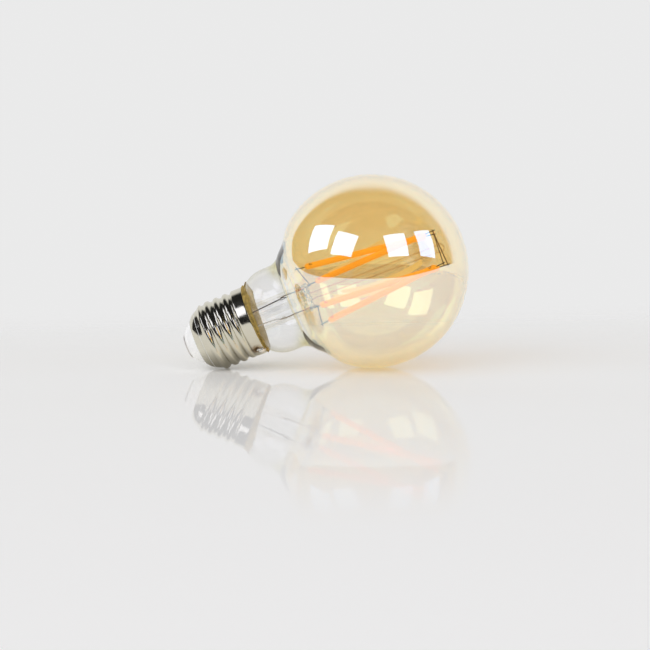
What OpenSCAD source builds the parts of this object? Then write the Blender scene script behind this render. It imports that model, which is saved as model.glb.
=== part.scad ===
// Globe lamp with four LED filaments, an E27 screw cap and a wireless driver in the cap.
// Millimetres. The lamp stands on its cap: the axis is +Z and the centre contact is at the origin.

/* [Screw cap] */
// Outer diameter over the thread crests and the plain skirt
cap_d = 26.2; // [26.05:0.05:26.45]
// Depth of the rolled thread
thread_depth = 0.85; // [0.7:0.05:1.0]
// Thread pitch of an E27 cap
thread_pitch = 3.63; // [3.6:0.01:3.66]
// Height from the centre contact to the rim of the cap
cap_h = 27.5; // [27:0.1:28]
// Sheet thickness of the cap
cap_wall = 0.3; // [0.25:0.05:0.35]
// Height of the plain skirt under the rim
skirt_h = 3.8; // [3.4:0.1:4.2]
// Diameter of the centre contact plate
contact_d = 9.1; // [8.6:0.1:9.6]

/* [Glass envelope] */
// Outer diameter of the globe
globe_d = 72; // [70:1:74]
// Height of the globe's centre above the cap rim
globe_rise = 47.4; // [46.8:0.1:48]
// Glass thickness of the globe and neck
glass_wall = 0.8; // [0.6:0.1:1.0]
// Outer diameter of the neck where it bulges
neck_d = 32; // [31:0.5:33]
// Outer diameter of the neck inside the cap
neck_tube_d = 22.6; // [22.2:0.1:22.8]

/* [Glass stem] */
// Outer diameter of the flare tube
flare_d = 10.8; // [10.4:0.1:11.2]
// Outer diameter of the exhaust tube
exhaust_d = 2.8; // [2.4:0.1:3.0]
// Diameter of the glass support rod
rod_d = 2.8; // [2.4:0.1:3.2]
// Sideways lean of the rod at its top
rod_lean = 1.7; // [0:0.1:2]

/* [Filaments] */
// Diameter of the coated LED filament
filament_d = 2.3; // [1.8:0.1:2.35]
// Length of the coated part of a filament
filament_l = 47.4; // [45:0.2:48]
// Diameter of the lead and support wires
lead_d = 0.45; // [0.4:0.05:0.6]
// Height of the lower filament pins
low_pin_z = 49.8; // [49.4:0.1:50.4]
// Height of the upper filament pins
top_pin_z = 101.8; // [101.2:0.1:102.4]

/* [Driver] */
// Diameter of the round driver board
board_d = 20.8; // [20:0.2:21.4]
// Diameter of the electrolytic capacitor
bulk_cap_d = 6.3; // [5:0.1:6.4]
// Diameter of the drum inductor
inductor_d = 5.4; // [4:0.2:5.6]

/* [Hidden] */
$fn = 96;

fit = 0.02;
bend_fullness = 1.04;
cap_r = cap_d / 2;
root_r = cap_r - thread_depth;

// Glass envelope: a sphere, a bulged neck drawn with one arc, and a fillet between them.
globe_r = globe_d / 2;
globe_z = cap_h + globe_rise;
neck_r = neck_d / 2;
neck_tube_r = neck_tube_d / 2;
neck_bottom_z = 18.4;
neck_arc_r = 12.4;
neck_arc_z = cap_h + 9.5;
fillet_z = cap_h + 12.1;
fillet_drop = globe_z - fillet_z;
fillet_r = (pow(fillet_drop, 2) + pow(neck_r, 2) - pow(globe_r, 2)) / (2 * (globe_r - neck_r));
fillet_share = globe_r / (globe_r + fillet_r);
fillet_top_z = globe_z - fillet_drop * fillet_share;
fillet_top_r = (neck_r + fillet_r) * fillet_share;

// Cap shell: shoulder, rolled thread, plain skirt.
shoulder_z = 4.7;
shoulder_mouth_r = 8.9;
thread_low_z = 8.4;
thread_top_z = cap_h - skirt_h;
thread_run_in = 2.2;
thread_run_out = 1.3;
thread_sides = 36;
rows_per_pitch = 7;
shell_overlap = 0.15;

// Stem.
flare_r = flare_d / 2;
flare_wall = 0.9;
flare_bend_r = 5.5;
press_z = 45;
press_top_z = 50.6;
press_w = 11;
press_t = 4.2;
rod_foot_z = press_top_z - 1.6;
button_d = 4;
exhaust_low_z = 21.5;
lead_y = 4.1;
seal_wire_d = 0.4;
driver_wire_d = 0.4;

// Lean of the rod and of everything it carries, away from the lamp axis.
lean_angle = 291;
lean = [rod_lean * cos(lean_angle), rod_lean * sin(lean_angle), 0];
top_wire_step = 0.9;
rod_foot = [0, 0, rod_foot_z];
button = [lean[0], lean[1], top_pin_z - top_wire_step / 2];

// Filament pins: two lie a little further out, so that crossing filaments clear each other.
pin_d = 0.4;
low_r_out = 12.2;
low_r_in = 10.8;
top_r_out = 10.2;
top_r_in = 8.2;
top_twist = 10;
pin_tail = 0.9;
pin_set_in = 1.6;
wire_offset = (pin_d + lead_d) / 2 + fit;

// Driver heights.
board_z = 8.6;
board_t = 1;
board_top = board_z + board_t;
sleeve_r = 11.2;
wire_slot_angle = 267;
solder_r = 1.5;

function ring_point(r, angle, z) = [r * cos(angle), r * sin(angle), z];
function unit(v) = v / norm(v);
function along(p, q, distance) = p + unit(q - p) * distance;
function smooth(t) = let (u = min(1, max(0, t))) u * u * (3 - 2 * u);

// Low and top end of each filament's axis, in the order 1 to 4.
function low_end(i) = ring_point(i % 2 == 0 ? low_r_out : low_r_in, [135, 45, 315, 225][i], low_pin_z);
function top_end(i) =
    let (
        outer = i % 2 == 0,
        z = top_pin_z - (outer ? top_wire_step : 0)
    )
    ring_point(outer ? top_r_out : top_r_in, [45, 135, 225, 315][i] + top_twist, z) + lean;

// Puts its children at p, with their Z axis pointing at q.
module aim(p, q) {
    v = q - p;
    translate(p)
        rotate([0, acos(v[2] / norm(v)), atan2(v[1], v[0])])
            children();
}

module rod_between(p, q, d) {
    aim(p, q) cylinder(d = d, h = norm(q - p), $fn = 24);
}

// A bent wire: straight lengths with a ball at each bend, a little fuller than the wire.
module wire(points, d) {
    for (i = [0 : len(points) - 2])
        rod_between(points[i], points[i + 1], d);
    if (len(points) > 2)
        for (i = [1 : len(points) - 2])
            translate(points[i]) sphere(d = d * bend_fullness, $fn = 24);
}

module ring(r_out, r_in, z, h) {
    translate([0, 0, z])
        difference() {
            cylinder(r = r_out, h = h);
            translate([0, 0, -1]) cylinder(r = r_in, h = h + 2);
        }
}

// ---- Glass ----

// Half section of the envelope, drawn inwards by inset.
module envelope_section(inset) {
    intersection() {
        translate([0, globe_z]) circle(r = globe_r - inset, $fn = 180);
        translate([0, fillet_top_z]) square([globe_r, 2 * globe_r]);
    }
    difference() {
        translate([0, fillet_z]) square([fillet_top_r, fillet_top_z - fillet_z + fit]);
        translate([neck_r + fillet_r, fillet_z]) circle(r = fillet_r + inset, $fn = 96);
    }
    translate([0, neck_arc_z]) square([neck_r - inset, fillet_z - neck_arc_z]);
    intersection() {
        translate([neck_r - neck_arc_r, neck_arc_z]) circle(r = neck_arc_r - inset, $fn = 120);
        translate([0, cap_h - 0.3]) square([neck_r, neck_arc_z - cap_h + 0.3]);
    }
    translate([0, neck_bottom_z]) square([neck_tube_r - inset, cap_h - neck_bottom_z]);
}

module glass_envelope() {
    color([0.86, 0.68, 0.3, 0.35])
        rotate_extrude($fn = 180)
            difference() {
                envelope_section(0);
                envelope_section(glass_wall);
                translate([0, neck_bottom_z - 1])
                    square([neck_tube_r - glass_wall, 3]);
            }
}

// Trumpet foot, straight tube, and the flat press that grips the leads and the rod.
module stem_flare() {
    foot_z = neck_bottom_z - flare_wall;
    bend_z = foot_z + flare_bend_r;
    color([0.85, 0.92, 0.95, 0.4])
        difference() {
            union() {
                rotate_extrude()
                    difference() {
                        translate([0, foot_z]) square([neck_tube_r, press_z - foot_z]);
                        translate([flare_r + flare_bend_r - flare_wall, bend_z])
                            circle(r = flare_bend_r - flare_wall);
                        translate([flare_r + flare_bend_r - flare_wall, neck_bottom_z])
                            square([neck_tube_r, press_z]);
                        translate([flare_r, bend_z]) square([neck_tube_r, press_z]);
                    }
                translate([0, 0, press_z]) press_body();
            }
            rotate_extrude()
                difference() {
                    translate([0, foot_z - 1])
                        square([flare_r + flare_bend_r - flare_wall, press_z - foot_z]);
                    translate([flare_r + flare_bend_r - flare_wall, bend_z])
                        circle(r = flare_bend_r);
                    translate([flare_r - flare_wall, bend_z])
                        square([flare_bend_r, press_z]);
                }
            for (side = [-1, 1])
                translate([0, side * lead_y, press_z - 2])
                    cylinder(d = lead_d + 2 * fit, h = press_top_z, $fn = 24);
            rod_between(rod_foot, button, rod_d + 2 * fit);
        }
}

module press_body() {
    bar_w = press_w - press_t;
    bar_h = press_top_z - press_z - press_t / 2;
    cylinder(r1 = flare_r, r2 = press_t / 2, h = 2.4);
    translate([-press_t / 2, -bar_w / 2, 0]) cube([press_t, bar_w, bar_h]);
    for (side = [-1, 1])
        translate([0, side * bar_w / 2, 0]) {
            cylinder(d = press_t, h = bar_h);
            translate([0, 0, bar_h]) sphere(d = press_t);
        }
    translate([0, -bar_w / 2, bar_h])
        rotate([-90, 0, 0])
            cylinder(d = press_t, h = bar_w);
}

module exhaust_tube() {
    color([0.88, 0.94, 0.96, 0.4])
        ring(exhaust_d / 2, exhaust_d / 2 - 0.7, exhaust_low_z, press_z - 1 - exhaust_low_z);
}

// The rod leans a little, and ends in a melted button round the two top wires.
module support_rod() {
    length = norm(button - rod_foot);
    color([0.88, 0.94, 0.96, 0.4])
        difference() {
            aim(rod_foot, button)
                rotate_extrude($fn = 48)
                    intersection() {
                        union() {
                            square([rod_d / 2, length]);
                            translate([0, length]) circle(d = button_d);
                        }
                        square([button_d, length + button_d]);
                    }
            for (first = [0, 1])
                top_wire(first, lead_d + 2 * fit);
        }
}

// ---- Wires of the mount ----

// Lower end of an outer lead: the first is cut shorter.
function splice_z(side) = side > 0 ? 39.1 : 36.6;

module outer_lead(side) {
    color("silver")
        rod_between([0, side * lead_y, splice_z(side)], [0, side * lead_y, press_z + 0.4], lead_d);
}
module outer_lead_1() { outer_lead(1); }
module outer_lead_2() { outer_lead(-1); }

module press_seal_wire(side) {
    color([0.72, 0.36, 0.26])
        rod_between([0, side * lead_y, press_z + 0.4], [0, side * lead_y, press_top_z - 1.6], seal_wire_d);
}
module press_seal_wire_1() { press_seal_wire(1); }
module press_seal_wire_2() { press_seal_wire(-1); }

// Point beside a filament's pin, one wire width off its axis on the side given.
function beside_pin(end, other, from, side) =
    let (across = unit(cross(other - end, from - end)))
    end + across * wire_offset * side;

function arm_path(i, side) =
    let (
        knee = [0, side * lead_y, press_top_z + 0.7],
        touch = beside_pin(low_end(i), top_end(i), knee, 1)
    )
    [knee, touch, along(touch, touch + unit(touch - knee), pin_tail)];

module inner_lead(side, first, second) {
    color("silver") {
        wire([[0, side * lead_y, press_top_z - 1.6], [0, side * lead_y, press_top_z + 0.7]], lead_d);
        translate([0, side * lead_y, press_top_z + 0.7]) sphere(d = lead_d, $fn = 24);
        wire(arm_path(first, side), lead_d);
        wire(arm_path(second, side), lead_d);
    }
}
module inner_lead_1() { inner_lead(1, 0, 1); }
module inner_lead_2() { inner_lead(-1, 2, 3); }

// The top wires cross in the button, one above the other, and reach past the filament pins.
// Each one joins filament first to the filament opposite it.
module top_wire(first, d) {
    a = top_end(first);
    b = top_end(first + 2);
    touch_a = beside_pin(a, low_end(first), b, 1);
    touch_b = beside_pin(b, low_end(first + 2), a, 1);
    rod_between(along(touch_a, touch_b, -pin_tail), along(touch_b, touch_a, -pin_tail), d);
}
module top_support_wire_1() { color("silver") top_wire(0, lead_d); }
module top_support_wire_2() { color("silver") top_wire(1, lead_d); }

// ---- Filaments ----

function body_start(i) = (norm(top_end(i) - low_end(i)) - filament_l) / 2;
function body_low(i) = along(low_end(i), top_end(i), body_start(i));
function body_top(i) = along(top_end(i), low_end(i), body_start(i));

// A round-ended coated rod, with a socket in each end for its pin.
module led_filament(i) {
    r = filament_d / 2;
    socket_r = pin_d / 2 + fit;
    color([1, 0.6, 0.16])
        aim(body_low(i), body_top(i))
            rotate_extrude($fn = 48)
                difference() {
                    union() {
                        translate([0, r]) square([r, filament_l - 2 * r]);
                        for (z = [r, filament_l - r])
                            intersection() {
                                translate([0, z]) circle(r = r);
                                square([r, filament_l]);
                            }
                    }
                    translate([0, -1]) square([socket_r, pin_set_in + 1]);
                    translate([0, filament_l - pin_set_in]) square([socket_r, pin_set_in + 1]);
                }
}
module led_filament_1() { led_filament(0); }
module led_filament_2() { led_filament(1); }
module led_filament_3() { led_filament(2); }
module led_filament_4() { led_filament(3); }

// A metal pin at each end, set into the coating.
module filament_terminals(i) {
    low = low_end(i);
    top = top_end(i);
    color("silver") {
        rod_between(along(low, top, -pin_tail), along(body_low(i), top, pin_set_in), pin_d);
        rod_between(along(top, low, -pin_tail), along(body_top(i), low, pin_set_in), pin_d);
    }
}
module filament_terminals_1() { filament_terminals(0); }
module filament_terminals_2() { filament_terminals(1); }
module filament_terminals_3() { filament_terminals(2); }
module filament_terminals_4() { filament_terminals(3); }

// Wires from the driver up the flare tube, laid beside the outer leads and spliced to them.
module driver_wire(side) {
    color("dimgray")
        wire([
            [2, side * 5.2, board_top],
            [2, side * 5.2, 14],
            [1.6, side * 3.2, 23],
            [0, side * 3, 29],
            [0, side * (lead_y - (lead_d + driver_wire_d) / 2 - fit), splice_z(side) + 2.4]
        ], driver_wire_d);
}
module driver_wire_1() { driver_wire(1); }
module driver_wire_2() { driver_wire(-1); }

// ---- Cap ----

// Outer radius of the rolled sheet at height z and angle: a cosine thread that runs in at the
// shoulder and runs out at the skirt.
function thread_r(z, angle) =
    let (
        turn = (z - thread_low_z) / thread_pitch - angle / 360,
        crest = thread_depth * (0.5 + 0.5 * cos(360 * (turn - 0.25))),
        wave = root_r + crest * smooth((z - thread_low_z) / thread_run_in)
    )
    wave + (cap_r - wave) * smooth((z - thread_top_z) / thread_run_out + 1);

module thread_sheet() {
    low = thread_low_z - shell_overlap;
    high = thread_top_z + shell_overlap;
    rows = round((high - low) / thread_pitch * rows_per_pitch);
    n = thread_sides;
    inner_from = (rows + 1) * n;
    tuck = 0.05;
    points = [
        for (inward = [0, cap_wall])
            for (row = [0 : rows])
                for (i = [0 : n - 1])
                    let (
                        z = low + (high - low) * row / rows,
                        angle = 360 * i / n,
                        tucked = row == 0 || row == rows ? (inward == 0 ? -fit : tuck) : 0,
                        r = thread_r(z, angle) - inward + tucked
                    )
                    ring_point(r, angle, z)
    ];
    faces = [
        for (row = [0 : rows - 1])
            for (i = [0 : n - 1])
                let (
                    j = (i + 1) % n,
                    a = row * n + i,
                    b = row * n + j,
                    c = a + n,
                    d = b + n
                )
                each [
                    [a, c, b], [b, c, d],
                    [inner_from + a, inner_from + b, inner_from + c],
                    [inner_from + b, inner_from + d, inner_from + c]
                ],
        for (i = [0 : n - 1])
            let (
                j = (i + 1) % n,
                top = rows * n
            )
            each [
                [i, j, inner_from + i], [j, inner_from + j, inner_from + i],
                [top + i, inner_from + top + i, top + j],
                [top + j, inner_from + top + i, inner_from + top + j]
            ]
    ];
    polyhedron(points, faces, convexity = 12);
}

// Domed shoulder between the thread and the mouth that holds the insulator.
module shoulder_section(inset) {
    bulge = 0.16;
    steps = 8;
    low = [shoulder_mouth_r, shoulder_z];
    high = [root_r, thread_low_z - 0.3];
    chord = high - low;
    outward = unit([chord[1], -chord[0]]);
    arc = [
        for (i = [0 : steps])
            low + chord * i / steps + outward * norm(chord) * bulge * sin(180 * i / steps) - [inset, 0]
    ];
    polygon(concat([[0, shoulder_z - inset]], arc, [[root_r - inset, thread_low_z], [0, thread_low_z]]));
}

module cap_shell() {
    color([0.78, 0.76, 0.72]) {
        thread_sheet();
        ring(cap_r, cap_r - cap_wall, thread_top_z, skirt_h);
        rotate_extrude()
            difference() {
                shoulder_section(0);
                shoulder_section(cap_wall);
            }
    }
}

module cap_insulator() {
    color([0.95, 0.95, 0.93])
        rotate_extrude()
            polygon([
                [1.05, 0.55], [contact_d / 2, 0.55], [8.3, shoulder_z - 0.2], [8.5, shoulder_z + 0.5],
                [9.4, 6.1], [9.6, 7.1], [8.6, 7.1], [7.2, 5], [3.6, 1.9], [1.05, 1.9]
            ]);
}

module centre_contact() {
    color([0.8, 0.78, 0.72])
        rotate_extrude()
            polygon([
                [0, 0], [3.4, 0], [4.3, 0.2], [contact_d / 2, 0.55 - fit],
                [1, 0.55 - fit], [1, 2.6], [0.7, 3.2], [0, 3.2]
            ]);
}

// Radius of the glass neck at height z, from the tube up into the bulge.
function neck_outer_r(z) =
    max(neck_tube_r, neck_r - neck_arc_r + sqrt(max(0, pow(neck_arc_r, 2) - pow(neck_arc_z - z, 2))));

// Cement between the neck and the cap, and the collar that stands above the rim.
module basing_cement() {
    collar_h = 2.5;
    glass_side = [for (i = [0 : 6]) let (z = cap_h + collar_h * i / 6) [neck_outer_r(z) + fit, z]];
    color([0.66, 0.54, 0.24])
        difference() {
            rotate_extrude()
                polygon(concat(
                    [
                        [neck_tube_r + fit, 18.9], [root_r - cap_wall - 0.1, 18.9],
                        [root_r - cap_wall - 0.1, thread_top_z - 0.2],
                        [cap_r - cap_wall - 0.1, thread_top_z + 0.5], [cap_r - cap_wall - 0.1, cap_h + fit],
                        [cap_r, cap_h + fit], [cap_r + 0.3, cap_h + 0.6], [cap_r + 0.45, cap_h + 1.3]
                    ],
                    [for (i = [6 : -1 : 0]) glass_side[i]],
                    [[neck_tube_r + fit, cap_h - 0.3]]
                ));
            shell_wire_path(0.5 + 2 * fit);
        }
}

// Earth side of the supply: from the board, up past the neck and over the rim.
module shell_wire_path(d) {
    rotate([0, 0, wire_slot_angle])
        wire([
            [9.7, 0, board_top], [9.7, 0, 17.15], [11.64, 0, 17.15], [11.64, 0, cap_h - 1.9],
            [12.45, 0, cap_h - 0.5], [12.45, 0, cap_h + 0.3],
            [cap_r + 0.27, 0, cap_h + 0.3], [cap_r + 0.27, 0, cap_h - 1.4]
        ], d);
}

module shell_wire() { color("silver") shell_wire_path(0.5); }

module rim_solder() {
    color([0.82, 0.82, 0.8])
        difference() {
            rotate([0, 0, wire_slot_angle])
                translate([cap_r - 0.1, 0, cap_h - solder_r])
                    sphere(r = solder_r - fit, $fn = 48);
            cylinder(r = cap_r + fit / 2, h = cap_h + 4);
            shell_wire_path(0.5 + 2 * fit);
        }
}

// ---- Driver ----

module insulating_sleeve() {
    color([0.93, 0.93, 0.9]) ring(sleeve_r, sleeve_r - 0.3, 7.3, 9.3);
}

module driver_board() {
    color([0.1, 0.4, 0.22])
        difference() {
            translate([0, 0, board_z]) cylinder(d = board_d, h = board_t);
            translate([0, 0, board_z - 1]) cylinder(d = 0.8, h = 4, $fn = 24);
        }
}

// Axial resistor that joins the centre contact to the board.
module fusible_resistor() {
    color([0.35, 0.55, 0.7]) {
        translate([0, 0, 3.25]) cylinder(d = 0.6, h = board_top + 0.5 - 3.25, $fn = 24);
        translate([0, 0, 4.1]) cylinder(d = 2.4, h = 3.4, $fn = 32);
    }
}

module bridge_rectifier() {
    color([0.12, 0.12, 0.13])
        translate([5.2, 5.2, board_top])
            rotate([0, 0, 45]) {
                translate([-2.35, -1.9, 0.2]) cube([4.7, 3.8, 2]);
                for (x = [-1.3, 1.3], y = [-2.9, 1.9])
                    translate([x - 0.3, y, 0]) cube([0.6, 1, 0.3]);
            }
}

module bulk_capacitor() {
    color([0.2, 0.22, 0.28])
        translate([-6.2, 0, board_top]) {
            cylinder(d = bulk_cap_d, h = 7.2);
            translate([0, 0, 7.2]) cylinder(d = bulk_cap_d - 1.4, h = 0.2);
        }
}

// Drum core with a copper winding between its flanges.
module inductor() {
    color([0.3, 0.28, 0.27])
        translate([6.2, -4.6, board_top]) {
            cylinder(d = inductor_d, h = 1);
            translate([0, 0, 1]) cylinder(d = inductor_d - 1, h = 3.6);
            translate([0, 0, 4.6]) cylinder(d = inductor_d, h = 1);
        }
}

module driver_chip() {
    color([0.12, 0.12, 0.13])
        translate([-4.4, 6.4, board_top]) {
            translate([-1.9, -1.5, 0.15]) cube([3.8, 3, 1.4]);
            for (i = [0 : 3], side = [-1, 1])
                translate([-1.65 + i * 1.1 - 0.2, side < 0 ? -2.1 : 1.5, 0]) cube([0.4, 0.6, 0.25]);
        }
}

module film_capacitor() {
    color([0.75, 0.16, 0.12])
        translate([-6.2, -8.2, board_top]) cube([6, 2.4, 5.4]);
}

// Upright radio board: wide at the foot, narrow where the antenna stands up inside the flare.
board_face_x = -1;
radio_w = 11;
radio_h = 7.4;
antenna_w = 7.4;
antenna_h = 3.4;
module wireless_board() {
    color([0.12, 0.2, 0.42])
        translate([board_face_x, 0, board_top])
            rotate([90, 0, -90])
                linear_extrude(0.8)
                    union() {
                        translate([-radio_w / 2, 0]) square([radio_w, radio_h]);
                        translate([-antenna_w / 2, 0]) square([antenna_w, radio_h + antenna_h]);
                    }
}

module shield_can() {
    color([0.8, 0.8, 0.8])
        translate([board_face_x, -4, board_top + 0.8]) cube([1.5, 8, 5.8]);
}

// Meander track at the tip of the radio board.
module antenna() {
    track = 0.35;
    turns = 5;
    step = (antenna_w - 1) / turns;
    low_z = board_top + radio_h + 0.3;
    high_z = board_top + radio_h + antenna_h - 0.7;
    color([0.8, 0.55, 0.2])
        for (i = [0 : turns]) {
            translate([board_face_x, -antenna_w / 2 + 0.3 + i * step, low_z])
                cube([0.1, track, high_z - low_z + track]);
            if (i < turns)
                translate([board_face_x, -antenna_w / 2 + 0.3 + i * step, i % 2 == 0 ? high_z : low_z])
                    cube([0.1, step + track, track]);
        }
}

glass_envelope();
stem_flare();
exhaust_tube();
support_rod();
outer_lead_1();
outer_lead_2();
press_seal_wire_1();
press_seal_wire_2();
inner_lead_1();
inner_lead_2();
top_support_wire_1();
top_support_wire_2();
led_filament_1();
led_filament_2();
led_filament_3();
led_filament_4();
filament_terminals_1();
filament_terminals_2();
filament_terminals_3();
filament_terminals_4();
driver_wire_1();
driver_wire_2();
cap_shell();
cap_insulator();
centre_contact();
basing_cement();
shell_wire();
rim_solder();
insulating_sleeve();
driver_board();
fusible_resistor();
bridge_rectifier();
bulk_capacitor();
inductor();
driver_chip();
film_capacitor();
wireless_board();
shield_can();
antenna();
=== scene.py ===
import math

import bpy
import numpy as np
from mathutils import Matrix, Vector, noise


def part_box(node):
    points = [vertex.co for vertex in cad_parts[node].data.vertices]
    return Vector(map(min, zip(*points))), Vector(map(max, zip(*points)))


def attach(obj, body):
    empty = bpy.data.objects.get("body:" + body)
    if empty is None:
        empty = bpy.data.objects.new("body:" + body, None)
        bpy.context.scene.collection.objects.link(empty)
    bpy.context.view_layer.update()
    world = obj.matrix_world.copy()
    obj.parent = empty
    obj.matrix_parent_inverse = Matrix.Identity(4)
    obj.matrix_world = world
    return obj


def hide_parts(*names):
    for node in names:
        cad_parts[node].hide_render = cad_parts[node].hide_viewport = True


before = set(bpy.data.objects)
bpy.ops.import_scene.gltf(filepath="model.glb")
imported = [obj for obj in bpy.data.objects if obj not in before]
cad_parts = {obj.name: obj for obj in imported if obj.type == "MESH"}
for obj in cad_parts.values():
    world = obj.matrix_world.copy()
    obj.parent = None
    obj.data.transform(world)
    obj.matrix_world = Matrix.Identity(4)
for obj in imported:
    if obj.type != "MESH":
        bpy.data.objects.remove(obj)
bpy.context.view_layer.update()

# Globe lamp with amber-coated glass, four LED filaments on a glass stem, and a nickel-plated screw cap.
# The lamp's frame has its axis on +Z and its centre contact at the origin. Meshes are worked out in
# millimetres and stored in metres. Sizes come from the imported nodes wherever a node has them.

MM = 0.001


def box_mm(node):
    low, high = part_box(node)
    return low / MM, high / MM


def axis_of(node):
    """Lower and upper end of a straight round node's axis, in millimetres."""
    points = np.array([v.co[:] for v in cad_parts[node].data.vertices]) / MM
    centre = (points.max(0) + points.min(0)) / 2
    direction = np.linalg.svd(points - points.mean(0), full_matrices=False)[2][0]
    if direction[2] < 0:
        direction = -direction
    reach = (points - centre) @ direction
    return Vector(centre + direction * reach.min()), Vector(centre + direction * reach.max())


# ---------------------------------------------------------------- sizes in millimetres

globe_low, globe_high = box_mm("glass_envelope")
GLOBE_R = (globe_high.x - globe_low.x) / 2
GLOBE_Z = globe_high.z - GLOBE_R
WALL = 0.8
ROOT_DIP = 1.6
ROOT_DIP_Z = 47.8
ROOT_DIP_H = 3.2
NECK_R = 16.3
NECK_TUBE_R = 11.3
NECK_LOW_Z = globe_low.z
NECK_ARC_R = 12.4
NECK_ARC_Z = 37.0
FILLET_Z = 39.6
COAT_LOW_Z = 45.6
COAT_FULL_Z = 47.2

cap_low, cap_high = box_mm("cap_shell")
CAP_R = cap_high.x
RIM_Z = cap_high.z
SHOULDER_Z = cap_low.z
CAP_WALL = 0.3
THREAD_DEPTH = 0.85
THREAD_PITCH = 3.63
ROOT_R = CAP_R - THREAD_DEPTH
THREAD_LOW_Z = 8.4
THREAD_TOP_Z = 23.7
THREAD_RUN_IN = 2.0
THREAD_RUN_OUT = 1.3
SHOULDER_MOUTH_R = 8.9
SHOULDER_BLEND = 2.6
SHOULDER_DROP = 0.6
SHOULDER_BULGE = 0.07

stem_low, stem_high = box_mm("stem_flare")
FLARE_R = 5.4
FLARE_WALL = 0.9
PRESS_Z = 45.0
PRESS_TOP_Z = stem_high.z
PRESS_W = 11.0
PRESS_T = 4.2
LEAD_Y = 4.1
LEAD_D = 0.4
SPLICE_Z = {1: 39.1, 2: 36.6}


# ---------------------------------------------------------------- mesh tools

def smoothstep(low, high, x):
    t = min(1.0, max(0.0, (x - low) / (high - low)))
    return t * t * (3 - 2 * t)


def lump(point, scale, seed=0.0):
    """Smooth noise from -1 to 1 at a point in millimetres; scale is the size of a lump."""
    return noise.noise(Vector(point) / scale + Vector((seed, 2.7 * seed, -1.3 * seed)))


def turns(sides):
    """Angles of the points round a ring."""
    return [math.tau * i / sides for i in range(sides)]


def on_circle(r, angle, z):
    return (r * math.cos(angle), r * math.sin(angle), z)


def end_faces(first, last, sides):
    """The two ends of a tube, from the first point of each end ring."""
    return [tuple(reversed(range(first, first + sides))), tuple(range(last, last + sides))]


def make_object(name, points, faces, materials, face_slots=None, smooth=True):
    mesh = bpy.data.meshes.new(name)
    mesh.from_pydata([tuple(c * MM for c in p) for p in points], [], faces)
    for material in materials:
        mesh.materials.append(material)
    mesh.polygons.foreach_set("use_smooth", [smooth] * len(mesh.polygons))
    if face_slots:
        mesh.polygons.foreach_set("material_index", face_slots)
    mesh.update()
    obj = bpy.data.objects.new(name, mesh)
    bpy.context.scene.collection.objects.link(obj)
    return obj


def grid_faces(rows, columns, close_rows=False, first=0):
    """Quads of a grid that wraps round its columns, and round its rows if asked."""
    faces = []
    for row in range(rows if close_rows else rows - 1):
        a, b = first + row * columns, first + (row + 1) % rows * columns
        for i in range(columns):
            j = (i + 1) % columns
            faces.append((a + i, a + j, b + j, b + i))
    return faces


def revolve(name, profile, sides, materials, closed=True, shift=None, slots=None):
    """Turns (r, z) points about the axis. An open profile starts and ends on the axis.

    shift(r, angle, z) may return a changed r. slots gives each row of faces its material.
    """
    points = []
    for r, z in profile:
        for angle in turns(sides):
            points.append(on_circle(shift(r, angle, z) if shift else r, angle, z))
    face_slots = [slot for slot in slots for _ in range(sides)] if slots else None
    return make_object(name, points, grid_faces(len(profile), sides, closed), materials, face_slots)


def arc(centre, radius, start, end, steps):
    """Points (r, z) on an arc, angles in degrees from the +r direction."""
    return [
        (centre[0] + radius * math.cos(math.radians(start + (end - start) * i / steps)),
         centre[1] + radius * math.sin(math.radians(start + (end - start) * i / steps)))
        for i in range(steps + 1)
    ]


def spline(points, steps=8):
    """Catmull-Rom curve through the points."""
    pts = [Vector(p) for p in points]
    pts = [2 * pts[0] - pts[1]] + pts + [2 * pts[-1] - pts[-2]]
    out = []
    for a, b, c, d in zip(pts, pts[1:], pts[2:], pts[3:]):
        for i in range(steps):
            t = i / steps
            out.append(0.5 * ((2 * b) + (c - a) * t + (2 * a - 5 * b + 4 * c - d) * t * t
                              + (3 * b - a - 3 * c + d) * t ** 3))
    out.append(pts[-2])
    return out


def frames_along(path):
    """Side vectors at each point of a path, carried along without twist."""
    tangents = []
    for i in range(len(path)):
        tangents.append((path[min(i + 1, len(path) - 1)] - path[max(i - 1, 0)]).normalized())
    up = Vector((0, 0, 1)) if abs(tangents[0].z) < 0.9 else Vector((1, 0, 0))
    side = tangents[0].cross(up).normalized()
    sides = []
    for t in tangents:
        side = (side - t * side.dot(t)).normalized()
        sides.append((side, t.cross(side)))
    return sides


def tube_parts(path, radius, sides=12, flat=1.0, first=0):
    """Points and faces of a tube with rounded ends. radius(t) or a number; flat squashes one way."""
    radius_at = radius if callable(radius) else (lambda t: radius)
    path = [Vector(p) for p in path]
    a = (path[1] - path[0]).normalized() * radius_at(0)
    b = (path[-1] - path[-2]).normalized() * radius_at(1)
    path = ([path[0], path[0] + a * 0.3, path[0] + a] + path[1:-1]
            + [path[-1] - b, path[-1] - b * 0.3, path[-1]])
    count = len(path)
    end_share = {0: 0.35, 1: 0.8, count - 2: 0.8, count - 1: 0.35}
    points = []
    for k, (p, (u, v)) in enumerate(zip(path, frames_along(path))):
        r = radius_at(k / (count - 1)) * end_share.get(k, 1.0)
        for angle in turns(sides):
            points.append(p + u * r * math.cos(angle) + v * r * flat * math.sin(angle))
    faces = grid_faces(count, sides, first=first)
    return points, faces + end_faces(first, first + (count - 1) * sides, sides)


def tubes(name, runs, materials, sides=12):
    """One object of several tubes. A run is (path, radius) or (path, radius, flat)."""
    points, faces = [], []
    for run in runs:
        flat = run[2] if len(run) > 2 else 1.0
        more, more_faces = tube_parts(run[0], run[1], sides, flat, first=len(points))
        points += more
        faces += more_faces
    return make_object(name, points, faces, materials)


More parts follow.
